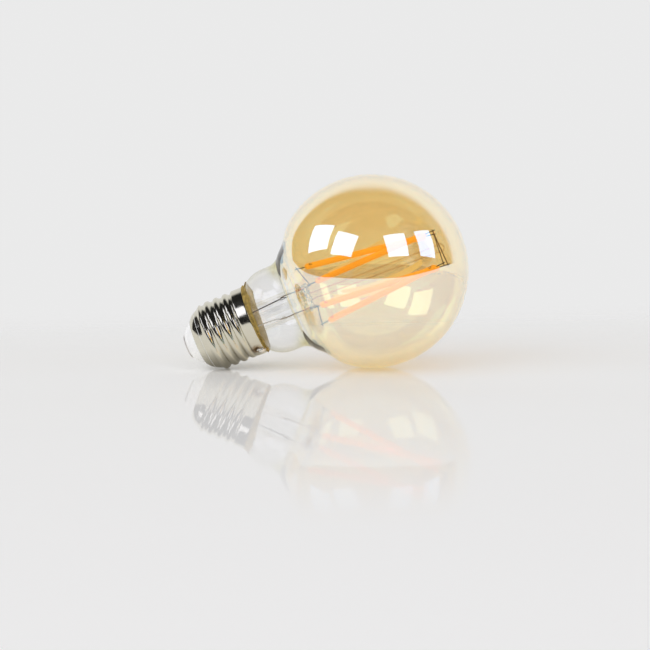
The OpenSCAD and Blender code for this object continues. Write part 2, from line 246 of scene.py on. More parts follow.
def nugget_parts(centre, radius, seed, first=0, rings=8, sides=12, stretch=(1, 1, 1)):
    """A lumpy bead of molten metal."""
    points = [Vector(centre) + Vector((0, 0, -radius * stretch[2]))]
    for k in range(1, rings):
        theta = math.pi * k / rings
        for angle in turns(sides):
            d = Vector(on_circle(math.sin(theta), angle, -math.cos(theta)))
            r = radius * (1 + 0.22 * lump(d, 0.7, seed))
            reach = Vector((d.x * r * stretch[0], d.y * r * stretch[1], d.z * r * stretch[2]))
            points.append(Vector(centre) + reach)
    points.append(Vector(centre) + Vector((0, 0, radius * stretch[2])))
    faces = []
    last = first + len(points) - 1
    for i in range(sides):
        j = (i + 1) % sides
        faces.append((first, first + 1 + j, first + 1 + i))
        base = first + 1 + (rings - 2) * sides
        faces.append((last, base + i, base + j))
    faces += grid_faces(rings - 1, sides, first=first + 1)
    return points, faces


def add_parts(parts, more):
    parts[0].extend(more[0])
    parts[1].extend(more[1])


def stands_for(obj, slot, *nodes):
    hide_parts(*nodes)
    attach(obj, "root")
    return obj


# ---------------------------------------------------------------- material tools

def new_material(name):
    material = bpy.data.materials.new(name)
    material.use_nodes = True
    material.node_tree.nodes.clear()
    return material, material.node_tree


def add_node(tree, kind, inputs=None, **settings):
    made = tree.nodes.new(kind)
    for key, value in settings.items():
        setattr(made, key, value)
    for key, value in (inputs or {}).items():
        if isinstance(value, bpy.types.NodeSocket):
            tree.links.new(value, made.inputs[key])
        else:
            made.inputs[key].default_value = value
    return made


def rgba(colour):
    return (*colour, 1.0)


def object_place(tree):
    """Place on the surface in the lamp's own frame, in metres."""
    return add_node(tree, "ShaderNodeTexCoord").outputs["Object"]


def noise_value(tree, scale, detail, rough=0.55):
    return add_node(tree, "ShaderNodeTexNoise", {
        "Vector": object_place(tree), "Scale": scale, "Detail": detail, "Roughness": rough,
    }).outputs["Fac"]


def ramp(tree, value, stops):
    """Colour ramp; stops are (position, colour)."""
    made = add_node(tree, "ShaderNodeValToRGB", {"Fac": value})
    elements = made.color_ramp.elements
    while len(elements) < len(stops):
        elements.new(0.5)
    for element, (position, colour) in zip(elements, stops):
        element.position = position
        element.color = rgba(colour)
    return made.outputs["Color"]


def remap(tree, value, low, high, to_low, to_high, kind="SMOOTHSTEP"):
    return add_node(tree, "ShaderNodeMapRange", {
        "Value": value, "From Min": low, "From Max": high, "To Min": to_low, "To Max": to_high,
    }, interpolation_type=kind).outputs["Result"]


def maths(tree, operation, a, b=None, c=None):
    made = tree.nodes.new("ShaderNodeMath")
    made.operation = operation
    for socket, value in zip(made.inputs, (a, b, c)):
        if isinstance(value, bpy.types.NodeSocket):
            tree.links.new(value, socket)
        elif value is not None:
            socket.default_value = value
    return made.outputs[0]


def bump(tree, height, strength, distance):
    return add_node(tree, "ShaderNodeBump", {
        "Height": height, "Strength": strength, "Distance": distance}).outputs[0]


def output(tree, shader):
    add_node(tree, "ShaderNodeOutputMaterial", {"Surface": shader})


def mix_shaders(tree, share, first, second):
    return add_node(tree, "ShaderNodeMixShader", {"Fac": share, 1: first, 2: second}).outputs[0]


def diffuse(tree, colour):
    return add_node(tree, "ShaderNodeBsdfDiffuse", {"Color": rgba(colour)}).outputs[0]


def mirror(tree, colour=(1, 1, 1)):
    return add_node(tree, "ShaderNodeBsdfGlossy", {"Color": rgba(colour), "Roughness": 0.0}).outputs[0]


def see_through(tree, colour):
    """Transparent shader; colour is fixed or a socket."""
    value = colour if isinstance(colour, bpy.types.NodeSocket) else rgba(colour)
    return add_node(tree, "ShaderNodeBsdfTransparent", {"Color": value}).outputs[0]


def facing_share(tree):
    """Zero where a surface is seen face-on, and one where it is seen edge-on."""
    return add_node(tree, "ShaderNodeLayerWeight", {"Blend": 0.5}).outputs["Facing"]


def edge_share(tree, at_face_on):
    """Schlick's share of mirrored light, the same from both sides of a surface."""
    grazing = maths(tree, "POWER", facing_share(tree), 5.0)
    return maths(tree, "MULTIPLY_ADD", grazing, 1 - at_face_on, at_face_on)


def height_along_axis(tree):
    return add_node(tree, "ShaderNodeSeparateXYZ", {"Vector": object_place(tree)}).outputs["Z"]


def height_band(tree, height, low, low_full, high_full, high):
    """One inside a band of heights in millimetres, zero outside, with soft edges."""
    rise = remap(tree, height, low * MM, low_full * MM, 0.0, 1.0)
    return maths(tree, "MULTIPLY", rise, remap(tree, height, high_full * MM, high * MM, 1.0, 0.0))


def distance_to(tree, place, point):
    """Distance in metres from a point given in millimetres."""
    made = add_node(tree, "ShaderNodeVectorMath", {0: place, 1: point * MM}, operation="DISTANCE")
    return made.outputs["Value"]


# ---------------------------------------------------------------- materials

COAT_PASS = (0.91, 0.698, 0.395)
COAT_EDGE = (0.88, 0.665, 0.375)
COAT_MIRROR = (0.165, 0.335, 0.47)
# Painted shade in place of refraction: the thick glass at the neck seen edge-on, and a dark wedge at the foot
# of the crease.
THICK_GLASS_SHADE = (0.84, 0.82, 0.60)
CREASE_SHADE = (0.10, 0.09, 0.065)
CREASE_Z = 43.7
CREASE_REACH = 5.1
NICKEL = (0.72, 0.69, 0.58)
SOLDER_SIDE = math.radians(263)
THICK_SIDE = math.radians(146)


def on_cap(radius, z, turn_mm=0.0):
    """Point at a radius and height beside the solder spot, turned round the cap by some millimetres."""
    return Vector(on_circle(radius, SOLDER_SIDE + turn_mm / CAP_R, z))


def clear_pane(tree, edge_colour, power):
    """Thin clear glass: mostly open, and a little darker where it is seen edge-on, as painted shade in place
    of refraction.
    """
    edge = maths(tree, "POWER", facing_share(tree), power)
    return see_through(tree, ramp(tree, edge, [(0.0, (0.995, 0.995, 0.995)), (1.0, edge_colour)]))


def envelope_outside():
    """Coated glass. The coat thins out in rippled fringes over the neck. Painted shade, in place of
    refraction, darkens the thick glass seen edge-on and the crease.
    """
    material, tree = new_material("coated_glass")
    height = height_along_axis(tree)
    rippled = maths(tree, "MULTIPLY_ADD", noise_value(tree, 60.0, 2.0), 1.6 * MM, height)
    facing = facing_share(tree)
    full = remap(tree, rippled, COAT_LOW_Z * MM, COAT_FULL_Z * MM, 0.0, 1.0)
    upper_fringe = maths(tree, "MULTIPLY", height_band(tree, rippled, 44.2, 44.8, 45.2, 45.7), 0.9)
    lower_fringe = maths(tree, "MULTIPLY", height_band(tree, rippled, 41.7, 42.2, 42.6, 43.1),
                         remap(tree, facing, 0.3, 0.7, 0.0, 0.9))
    mask = maths(tree, "MAXIMUM", full, maths(tree, "MAXIMUM", upper_fringe, lower_fringe))
    passed = see_through(tree, ramp(tree, facing, [(0.0, COAT_PASS), (1.0, COAT_EDGE)]))
    coat = add_node(tree, "ShaderNodeAddShader", {0: passed, 1: mirror(tree, COAT_MIRROR)}).outputs[0]
    body = mix_shaders(tree, mask, clear_pane(tree, (0.62, 0.60, 0.42), 4.5), coat)
    # Painted shade: the thick glass round the neck darkens where it is seen edge-on.
    thick = maths(tree, "MULTIPLY", height_band(tree, height, 37.5, 42.5, 43.8, 44.6),
                  remap(tree, facing, 0.15, 0.75, 0.0, 0.95))
    body = mix_shaders(tree, thick, body, see_through(tree, THICK_GLASS_SHADE))
    # Painted shade: a dark wedge at the foot of the crease, reaching higher where the glass is seen more
    # edge-on.
    foot = remap(tree, height, (CREASE_Z - 0.3) * MM, (CREASE_Z + 0.1) * MM, 0.0, 1.0)
    reach = maths(tree, "MULTIPLY", remap(tree, facing, 0.54, 0.76, 0.0, 1.0, "LINEAR"), CREASE_REACH * MM)
    over = maths(tree, "SUBTRACT", maths(tree, "SUBTRACT", height, CREASE_Z * MM), reach)
    dark = maths(tree, "MULTIPLY", foot, remap(tree, over, -0.4 * MM, 0.2 * MM, 0.98, 0.0))
    body = mix_shaders(tree, dark, body, see_through(tree, CREASE_SHADE))
    output(tree, mix_shaders(tree, edge_share(tree, 0.04), body, mirror(tree)))
    return material


def clear_glass(name, edge_colour, power, face_on):
    material, tree = new_material(name)
    pane = clear_pane(tree, edge_colour, power)
    output(tree, mix_shaders(tree, edge_share(tree, face_on), pane, mirror(tree)))
    return material


def pressed_glass():
    """Stem glass: a plain tube below, and crinkled where it was pressed, with painted shade along the
    creases, painted highlights beside them, and glints.
    """
    material, tree = new_material("stem_glass")
    press = height_band(tree, height_along_axis(tree), PRESS_Z + 0.8, PRESS_Z + 2.0,
                        PRESS_TOP_Z - 0.4, PRESS_TOP_Z)
    creases = noise_value(tree, 620.0, 1.5, 0.5)
    distance = maths(tree, "ABSOLUTE", maths(tree, "SUBTRACT", creases, 0.5))
    # Painted shade: thin brown lines along the creases, in place of refraction in the crinkled glass.
    line = maths(tree, "MULTIPLY", remap(tree, distance, 0.006, 0.026, 0.95, 0.0), press)
    pane = clear_pane(tree, (0.78, 0.74, 0.60), 3.6)
    body = mix_shaders(tree, line, pane, diffuse(tree, (0.20, 0.10, 0.05)))
    # Painted highlight: white bands beside the creases, in place of bright refraction.
    ridge_highlight = maths(tree, "MULTIPLY", remap(tree, creases, 0.55, 0.60, 0.0, 0.85), press)
    body = mix_shaders(tree, ridge_highlight, body, diffuse(tree, (1.0, 0.99, 0.97)))
    body = mix_shaders(tree, edge_share(tree, 0.02), body, mirror(tree))
    crumple = bump(tree, noise_value(tree, 380.0, 2.0), 1.0, 1.6 * MM)
    glint = add_node(tree, "ShaderNodeBsdfGlossy", {
        "Color": rgba((1, 1, 1)), "Roughness": 0.03, "Normal": crumple}).outputs[0]
    output(tree, mix_shaders(tree, maths(tree, "MULTIPLY", press, 0.16), body, glint))
    return material


def glow(colour, strength):
    return {"Emission Color": rgba(colour), "Emission Strength": strength}


def principled(name, colour, rough, metallic, grain, extra=None):
    """Principled material. grain is (scale, colour swing, roughness swing, bump in millimetres)."""
    material, tree = new_material(name)
    shader = add_node(tree, "ShaderNodeBsdfPrincipled", {"Metallic": metallic, **(extra or {})})
    scale, swing, rough_swing, height = grain
    value = noise_value(tree, scale, 4.0)
    darker = tuple(max(0.0, c * (1 - swing)) for c in colour)
    lighter = tuple(min(1.0, c * (1 + swing)) for c in colour)
    tree.links.new(ramp(tree, value, [(0.3, darker), (0.7, lighter)]), shader.inputs["Base Color"])
    roughness = remap(tree, noise_value(tree, scale * 0.6, 3.0), 0.3, 0.7,
                      max(0.02, rough - rough_swing), min(1.0, rough + rough_swing))
    tree.links.new(roughness, shader.inputs["Roughness"])
    tree.links.new(bump(tree, value, 0.6, height * MM), shader.inputs["Normal"])
    output(tree, shader.outputs[0])
    return material


def bedded_cement():
    """Cement seen through the glass: brown where it is thick, and paler toward its thin top edge, with a
    faint painted glow that lifts it out of the shade inside the cap.
    """
    material = principled("bedded_cement", (0.62, 0.49, 0.27), 0.6, 0.0, (700.0, 0.3, 0.15, 0.1),
                          glow((0.70, 0.62, 0.45), 0.15))
    tree = material.node_tree
    height = maths(tree, "MULTIPLY_ADD", noise_value(tree, 500.0, 2.0), 1.0 * MM, height_along_axis(tree))
    colour = ramp(tree, remap(tree, height, (RIM_Z + 0.3) * MM, (RIM_Z + 1.6) * MM, 0.0, 1.0), [
        (0.0, (0.44, 0.34, 0.16)), (0.5, (0.54, 0.45, 0.26)), (1.0, (0.84, 0.79, 0.62))])
    tree.links.new(colour, tree.nodes["Principled BSDF"].inputs["Base Color"])
    return material


def nickel_plate():
    """Nickel on the rolled shell: soft reflections, and a dark brown painted shadow below and beside the
    soldered spot.
    """
    material = principled("nickel_plate", NICKEL, 0.15, 1.0, (300.0, 0.03, 0.02, 0.001))
    tree = material.node_tree
    base = tree.nodes["Principled BSDF"].inputs["Base Color"]
    clean = base.links[0].from_socket
    # Painted shadow of the solder bead: darkest near its foot, fading out within a few millimetres.
    gap = distance_to(tree, object_place(tree), on_cap(CAP_R, RIM_Z - 2.6, -1.6))
    ragged = maths(tree, "MULTIPLY_ADD", noise_value(tree, 700.0, 3.0), 2.2 * MM, gap)
    bead_shadow = ramp(tree, remap(tree, ragged, 1.6 * MM, 4.2 * MM, 0.0, 1.0), [
        (0.0, (0.10, 0.055, 0.02)), (0.35, (0.42, 0.33, 0.22)), (1.0, NICKEL)])
    mixed = add_node(tree, "ShaderNodeMix", {6: clean, 7: bead_shadow}, data_type="RGBA", blend_type="DARKEN")
    mixed.inputs["Factor"].default_value = 1.0
    tree.links.new(mixed.outputs[2], base)
    return material


MATERIALS = {
    "nickel": nickel_plate(),
    # The insulator's faint glow is painted light, keeping it as pale as the backdrop.
    "insulator": principled("white_insulator", (0.97, 0.965, 0.94), 0.22, 0.0, (500.0, 0.02, 0.05, 0.01),
                            glow((1.0, 1.0, 0.98), 0.11)),
    "contact": principled("contact_plate", (0.72, 0.69, 0.64), 0.3, 1.0, (900.0, 0.08, 0.1, 0.01)),
    "bedded_cement": bedded_cement(),
    "cement": principled("cement", (0.40, 0.275, 0.065), 0.7, 0.0, (700.0, 0.55, 0.15, 0.3)),
    "lead": principled("lead_wire", (0.30, 0.20, 0.12), 0.35, 0.7, (1500.0, 0.25, 0.1, 0.01)),
    "seal": principled("seal_wire", (0.75, 0.22, 0.10), 0.4, 0.2, (1500.0, 0.25, 0.1, 0.01)),
    "tinned": principled("tinned_wire", (0.86, 0.86, 0.84), 0.5, 0.3, (1500.0, 0.06, 0.1, 0.02)),
    "driver_wire": principled("twisted_wire", (0.10, 0.09, 0.08), 0.35, 1.0, (1500.0, 0.2, 0.1, 0.02)),
    "terminal": principled("terminal_metal", (0.20, 0.16, 0.10), 0.35, 1.0, (1500.0, 0.25, 0.1, 0.01)),
    # The filament coating's glow is painted light that brightens the coating.
    "filament": principled("filament_coating", (1.0, 0.52, 0.05), 0.4, 0.0, (900.0, 0.06, 0.08, 0.03),
                           glow((1.0, 0.48, 0.04), 0.45)),
    "solder": principled("solder", (0.88, 0.86, 0.80), 0.28, 0.85, (900.0, 0.1, 0.1, 0.03)),
    "sleeve": principled("sleeve_film", (0.80, 0.80, 0.76), 0.5, 0.0, (500.0, 0.05, 0.1, 0.02)),
    "green_board": principled("green_board", (0.02, 0.13, 0.05), 0.4, 0.0, (1200.0, 0.3, 0.1, 0.02)),
    "blue_board": principled("blue_board", (0.015, 0.035, 0.14), 0.4, 0.0, (1200.0, 0.3, 0.1, 0.02)),
    "resistor": principled("resistor_lacquer", (0.12, 0.30, 0.42), 0.35, 0.0, (900.0, 0.15, 0.1, 0.02)),
    "epoxy": principled("black_epoxy", (0.02, 0.02, 0.022), 0.5, 0.0, (1500.0, 0.3, 0.1, 0.02)),
    "capacitor": principled("capacitor_sleeve", (0.02, 0.025, 0.06), 0.25, 0.0, (700.0, 0.2, 0.1, 0.01)),
    "ferrite": principled("ferrite", (0.05, 0.047, 0.045), 0.6, 0.0, (1500.0, 0.3, 0.1, 0.02)),
    "film_case": principled("film_case", (0.42, 0.03, 0.02), 0.3, 0.0, (700.0, 0.15, 0.1, 0.02)),
    "shield": principled("shield_metal", (0.70, 0.70, 0.70), 0.3, 1.0, (900.0, 0.08, 0.1, 0.01)),
    "antenna": principled("antenna_track", (0.75, 0.42, 0.12), 0.3, 1.0, (1500.0, 0.15, 0.1, 0.01)),
    "clear": clear_glass("clear_glass", (0.95, 0.955, 0.94), 4.0, 0.04),
    "stem": pressed_glass(),
    "pipe": clear_glass("pipe_glass", (0.72, 0.69, 0.58), 3.2, 0.02),
    # The rod's orange edges are painted shade in place of refraction, tinted by the amber light it bends.
    "rod": clear_glass("rod_glass", (0.80, 0.52, 0.16), 1.8, 0.02),
    "coated": envelope_outside(),
}

# ---------------------------------------------------------------- glass envelope

fillet_drop = GLOBE_Z - FILLET_Z
FILLET_R = (fillet_drop ** 2 + NECK_R ** 2 - GLOBE_R ** 2) / (2 * (GLOBE_R - NECK_R))
FILLET_TURN = math.degrees(math.asin(fillet_drop / (GLOBE_R + FILLET_R)))


def neck_radius(z):
    """Outer radius of the neck below its widest point."""
    if z >= NECK_ARC_Z:
        return NECK_R
    swell = NECK_R - NECK_ARC_R + math.sqrt(max(0.0, NECK_ARC_R ** 2 - (NECK_ARC_Z - z) ** 2))
    return max(NECK_TUBE_R, swell)


def root_dip(z):
    """How far the globe draws in just above the neck."""
    return ROOT_DIP * math.exp(-((z - ROOT_DIP_Z) / ROOT_DIP_H) ** 2) if z < GLOBE_Z else 0.0


def envelope_profile(inset):
    """Section of the envelope from the foot of the neck to the top of the globe."""
    arc_turn = math.degrees(math.acos((NECK_TUBE_R - NECK_R + NECK_ARC_R) / NECK_ARC_R))
    points = [(NECK_TUBE_R - inset, NECK_LOW_Z + (RIM_Z - NECK_LOW_Z) * i / 6 - 0.4) for i in range(6)]
    points += arc((NECK_R - NECK_ARC_R, NECK_ARC_Z), NECK_ARC_R - inset, -arc_turn, 0, 20)
    points += arc((NECK_R + FILLET_R, FILLET_Z), FILLET_R + inset, 180, 180 - FILLET_TURN, 14)
    points += arc((0, GLOBE_Z), GLOBE_R - inset, -FILLET_TURN, 89.9, 120)[1:]
    return [(r - root_dip(z), z) for r, z in points]


def make_envelope():
    outer = envelope_profile(0.0)
    inner = envelope_profile(WALL)
    profile = outer + list(reversed(inner))
    slots = [0] * (len(outer) - 1) + [1] * (len(inner) + 1)
    sides = 192

    def waver(r, angle, z):
        uneven = 1 + 0.0012 * lump(on_circle(1, angle, z / 18), 1.1, 3)
        return r * uneven if r >= 0.5 else r

    obj = revolve("globe_glass", profile, sides, [MATERIALS["coated"], MATERIALS["clear"]],
                  closed=True, shift=waver, slots=slots)
    return stands_for(obj, "amber_glass", "glass_envelope")


make_envelope()

# ---------------------------------------------------------------- screw cap

def thread_radius(z, angle):
    """Outer radius of the rolled sheet: a right-hand thread that runs in and out at its ends."""
    turn = (z - THREAD_LOW_Z) / THREAD_PITCH - angle / math.tau
    swing = math.tanh(1.2 * (math.cos(math.tau * (turn + 0.05)) + 0.1)) / math.tanh(1.32)
    crest = THREAD_DEPTH * (0.5 + 0.5 * swing)
    lean = max(0.0, 1 - (z - THREAD_LOW_Z) / SHOULDER_BLEND)
    wave = ROOT_R - SHOULDER_DROP * lean ** 2 + crest * smoothstep(0, THREAD_RUN_IN, z - THREAD_LOW_Z)
    return wave + (CAP_R - wave) * smoothstep(-THREAD_RUN_OUT, 0, z - THREAD_TOP_Z)


def shoulder_points(steps):
    """Domed shoulder from the mouth up to the thread."""
    low = Vector((SHOULDER_MOUTH_R, SHOULDER_Z))
    high = Vector((ROOT_R - SHOULDER_DROP - 0.14, THREAD_LOW_Z - 0.3))
    chord = high - low
    outward = Vector((chord.y, -chord.x)).normalized()
    bulge = outward * chord.length * SHOULDER_BULGE
    return [low + chord * (i / steps) + bulge * math.sin(math.pi * i / steps) for i in range(steps + 1)]


def make_cap_shell():
    sides = 240
    rows_per_pitch = 20
    shoulder = shoulder_points(14)
    rows = [(SHOULDER_MOUTH_R - 0.25, SHOULDER_Z + 0.02, False)] + [(p.x, p.y, False) for p in shoulder]
    count = round((THREAD_TOP_Z - THREAD_LOW_Z) / THREAD_PITCH * rows_per_pitch)
    rows += [(None, THREAD_LOW_Z + (THREAD_TOP_Z - THREAD_LOW_Z) * i / count, True) for i in range(count + 1)]
    rows += [(CAP_R, THREAD_TOP_Z + (RIM_Z - THREAD_TOP_Z - 0.12) * i / 8, False) for i in range(1, 9)]
    rows += [(CAP_R - 0.04, RIM_Z - 0.03, False), (CAP_R - 0.14, RIM_Z, False)]
    inner = [(r - CAP_WALL if r else None, z, threaded) for r, z, threaded in rows[2:-2]]
    inside = [(CAP_R - CAP_WALL + 0.02, RIM_Z - 0.02, False)] + inner[::-1]
    points = []
    for inset, run in ((0.0, rows), (CAP_WALL, inside)):
        for r, z, threaded in run:
            for angle in turns(sides):
                radius = thread_radius(z, angle) - inset if threaded else r
                dent = 0.018 * lump(on_circle(1, angle, z / 13), 0.35, 5)
                radius += dent if SHOULDER_Z + 1 < z < RIM_Z - 0.5 else 0.0
                points.append(on_circle(radius, angle, z))
    faces = grid_faces(len(points) // sides, sides, True)
    obj = make_object("screw_cap", points, faces, [MATERIALS["nickel"]])
    return stands_for(obj, "nickel_plate", "cap_shell")


def make_insulator():
    """White insulator: a cone with a soft shoulder under the shell, hollow for the contact and its lead."""
    low, high = box_mm("cap_insulator")
    foot_r = 4.55
    outer = [(1.05, low.z), (foot_r - 0.25, low.z), (foot_r - 0.05, low.z + 0.06),
             (foot_r + 0.08, low.z + 0.25)]
    for i in range(1, 13):
        t = i / 12
        z = low.z + 0.25 + 3.7 * t - 0.35 * math.sin(math.pi * t)
        outer.append((foot_r + 0.08 + (8.35 - foot_r) * t, z))
    outer += [(8.72, 4.75), (8.9, 5.1), (9.4, 6.1), (9.6, 6.9), (9.5, high.z), (8.6, high.z)]
    inner = [(7.2, 5.0), (5.4, 3.4), (3.6, 1.95), (1.05, 1.9)]
    obj = revolve("insulator_cone", outer + inner, 128, [MATERIALS["insulator"]])
    return stands_for(obj, "white_insulator", "cap_insulator")


def make_contact():
    """Plated contact plate with a rolled edge and a soldered centre."""
    edge_r = 4.55
    profile = [(0.0, 3.2), (0.6, 3.15), (0.75, 2.6), (1.0, 0.56), (3.6, 0.52), (4.4, 0.5),
               (edge_r - 0.03, 0.52),
               (edge_r, 0.46), (edge_r - 0.02, 0.36), (4.4, 0.26), (4.1, 0.14), (3.8, 0.05), (3.5, 0.005),
               (3.0, 0.0), (1.9, 0.0), (1.6, 0.06), (1.4, 0.1), (1.1, 0.05), (0.7, 0.0), (0.0, 0.0)]
    obj = revolve("contact_plate", profile, 96, [MATERIALS["contact"]], closed=False)
    return stands_for(obj, "contact_plate", "centre_contact")


def collar_top(angle):
    """Ragged top edge of the cement collar, higher on one side."""
    place = on_circle(1, angle, 0)
    top = 1.35 + 1.0 * math.cos(angle - THICK_SIDE) + 0.8 * lump(place, 0.42, 2)
    top += 0.4 * lump(place, 0.13, 8) + 0.2 * lump(place, 0.045, 4)
    return RIM_Z + max(0.6, top)


def collar_radius(angle, z, u):
    """Outside of the collar, from the rim at u = 0 to its top edge on the glass at u = 1."""
    place = on_circle(1, angle, 0)
    glass = neck_radius(z) + 0.02
    lip = 0.38 * smoothstep(0, 0.1, u) * (1 - smoothstep(0.12, 0.3, u)) * (0.8 + 0.8 * lump(place, 0.3, 12))
    skin = 0.22 + 0.3 * math.exp(-((u - 0.8) / 0.12) ** 2) * (0.6 + lump(place, 0.25, 15))
    outer = CAP_R - 0.05 + (glass + skin - CAP_R + 0.05) * smoothstep(0.05, 0.5, u) + lip
    outer += (glass - 0.1 - outer) * smoothstep(0.92, 1.0, u)
    rough = 0.13 * lump(on_circle(13, angle, z), 0.55, 6) + 0.06 * lump(on_circle(13, angle, z), 0.2, 7)
    return outer + rough * smoothstep(0.0, 0.2, u) * (1 - smoothstep(0.9, 1.0, u))


def make_cement():
    """Baked cement: fills the gap under the rim, and stands above it as a ragged collar on the glass."""
    sides = 288
    rows = 22
    inner_rows = 10
    low_z = 18.9
    below_rim = 0.25
    points = []
    for k in range(rows + 1):
        t = k / rows
        for angle in turns(sides):
            if t < below_rim:
                z = low_z + (RIM_Z - 0.05 - low_z) * t / below_rim
                r = (ROOT_R if z < THREAD_TOP_Z - 0.2 else CAP_R) - CAP_WALL - 0.12
            else:
                u = (t - below_rim) / (1 - below_rim)
                z = RIM_Z + 0.02 + (collar_top(angle) - RIM_Z) * math.sin(u * math.pi / 2)
                r = collar_radius(angle, z, u)
            points.append(on_circle(r, angle, z))
    for k in range(inner_rows + 1):
        for angle in turns(sides):
            top = collar_top(angle) - 0.05
            z = top + (low_z - top) * k / inner_rows
            points.append(on_circle(neck_radius(z) + 0.02, angle, z))
    faces = grid_faces(rows + inner_rows + 2, sides, True)
    against_glass = [int((rows + 1) * sides <= min(face) and k < len(faces) - sides)
                     for k, face in enumerate(faces)]
    materials = [MATERIALS["cement"], MATERIALS["bedded_cement"]]
    obj = make_object("cement_collar", points, faces, materials, against_glass)
    return stands_for(obj, "cement", "basing_cement")


def make_rim_solder():
    """The solder bead that joins the shell wire to the skirt, with a smear beside it."""
    parts = ([], [])
    add_parts(parts, nugget_parts(on_cap(CAP_R + 0.12, RIM_Z - 1.25), 1.2, 3, rings=16, sides=28,
                                  stretch=(1.1, 0.75, 1.1)))
    add_parts(parts, nugget_parts(on_cap(CAP_R, RIM_Z - 2.0, -1.0), 0.8, 9, first=len(parts[0]),
                                  rings=12, sides=20, stretch=(1.0, 0.5, 1.2)))
    obj = make_object("rim_solder_bead", parts[0], parts[1], [MATERIALS["solder"]])
    return stands_for(obj, "solder", "rim_solder")


def make_shell_wire():
    path = [on_cap(9.7, 9.6), on_cap(9.7, 16.4), on_cap(10.1, 17.1), on_cap(11.3, 17.25), on_cap(11.64, 18.0),
            on_cap(11.64, RIM_Z - 2.2), on_cap(12.35, RIM_Z - 0.7), on_cap(12.5, RIM_Z + 0.1),
            on_cap(12.8, RIM_Z + 0.32), on_cap(13.2, RIM_Z + 0.25), on_cap(13.37, RIM_Z - 0.2),
            on_cap(13.37, RIM_Z - 1.3)]
    obj = tubes("shell_lead", [(spline(path, 6), 0.25)], [MATERIALS["tinned"]])
    return stands_for(obj, "tinned_wire", "shell_wire")


make_cap_shell()
make_insulator()
make_contact()
make_cement()
make_rim_solder()
make_shell_wire()

# ---------------------------------------------------------------- stem

def oval_loft(rings, sides, ripple):
    """Loft through (z, half length along Y, half length along X, squareness) rings, rippled in the press."""
    points = []
    for z, half_y, half_x, power in rings:
        for angle in turns(sides):
            c, n = math.cos(angle), math.sin(angle)
            x = half_x * math.copysign(abs(c) ** power, c)
            y = half_y * math.copysign(abs(n) ** power, n)
            push = 1 + ripple * smoothstep(PRESS_Z - 1, PRESS_Z + 1, z) * lump((x, y, z), 1.5, 4)
            points.append((x * push, y * push, z))
    return points, grid_faces(len(rings), sides)


def make_stem():
    """Flare tube and the pressed glass at its top, as one skin inside and out."""
    foot_z = stem_low.z
    bend = 5.5
    sides = 72
    outer = [(NECK_TUBE_R, foot_z), (NECK_TUBE_R, foot_z + FLARE_WALL)]
    outer += arc((FLARE_R + bend, foot_z + bend + FLARE_WALL * 0.2), bend, 265, 180, 14)
    outer += [(FLARE_R, foot_z + bend + (PRESS_Z - 1 - foot_z - bend) * i / 10) for i in range(1, 11)]
    rings = [(z, r, r, 1.0) for r, z in outer]
    steps = 26
    half_w, half_t = PRESS_W / 2, PRESS_T / 2
    for i in range(1, steps + 1):
        t = i / steps
        z = PRESS_Z - 1 + (PRESS_TOP_Z - PRESS_Z + 1) * (1 - (1 - t) ** 1.25)
        narrow = smoothstep(0.0, 0.42, t)
        top = math.sqrt(max(0.0, 1 - smoothstep(0.86, 1.0, t) ** 2))
        crimp = 0.1 * math.sin(z * 3.1) * narrow
        half_y = (FLARE_R + (half_w - FLARE_R) * narrow) * (0.55 + 0.45 * top) - 0.05
        half_x = (FLARE_R + (half_t - 0.3 - FLARE_R) * narrow + crimp) * max(0.12, top)
        rings.append((z, half_y, half_x, 1.0 - 0.25 * narrow))
    inner_r = FLARE_R - FLARE_WALL
    inner = [(PRESS_Z + 1.4, 0.4, 0.3, 1.0), (PRESS_Z + 1.2, 1.9, 0.9, 1.0), (PRESS_Z + 0.4, 3.3, 1.7, 1.0),
             (PRESS_Z - 0.6, 4.1, 3.2, 1.0), (PRESS_Z - 1.8, inner_r, inner_r - 0.2, 1.0)]
    inner += [(PRESS_Z - 3 - (PRESS_Z - 3 - foot_z - bend) * i / 10, inner_r, inner_r, 1.0)
              for i in range(11)]
    inner += [(z, r, r, 1.0)
              for r, z in arc((FLARE_R + bend, foot_z + bend), bend + FLARE_WALL, 184, 262, 10)]
    points, faces = oval_loft(rings, sides, 0.13)
    more, more_faces = oval_loft(inner, sides, 0.0)
    offset = len(points)
    points += more
    faces += [tuple(offset + v for v in face) for face in more_faces]
    faces.append(tuple(range(offset - sides, offset)))
    faces.append(tuple(reversed(range(offset, offset + sides))))
    last = len(points) - sides
    for i in range(sides):
        j = (i + 1) % sides
        faces.append((last + i, last + j, j, i))
    obj = make_object("glass_stem", points, faces, [MATERIALS["stem"]])
    return stands_for(obj, "clear_glass", "stem_flare")


def make_exhaust_tube():
    low, high = box_mm("exhaust_tube")
    r = high.x
    profile = [(r, low.z)] + [(r, low.z + (high.z - low.z - 1.5) * i / 8) for i in range(1, 9)]
    profile += [(r + 0.25, high.z - 0.8), (r + 0.3, high.z - 0.2), (r, high.z), (r - 0.7, high.z - 0.3)]
    profile += [(r - 0.7, high.z - 1.5), (r - 0.7, low.z)]
    obj = revolve("exhaust_pipe", profile, 40, [MATERIALS["pipe"]])
    return stands_for(obj, "clear_glass", "exhaust_tube")


rod_foot = Vector((0, 0, PRESS_TOP_Z - 1.6))
BUTTON_D = 4.0
ROD_D = 2.8
top_ends = [axis_of(f"top_support_wire_{i}") for i in (1, 2)]
button_centre = sum(((a + b) / 2 for a, b in top_ends), Vector()) / 2


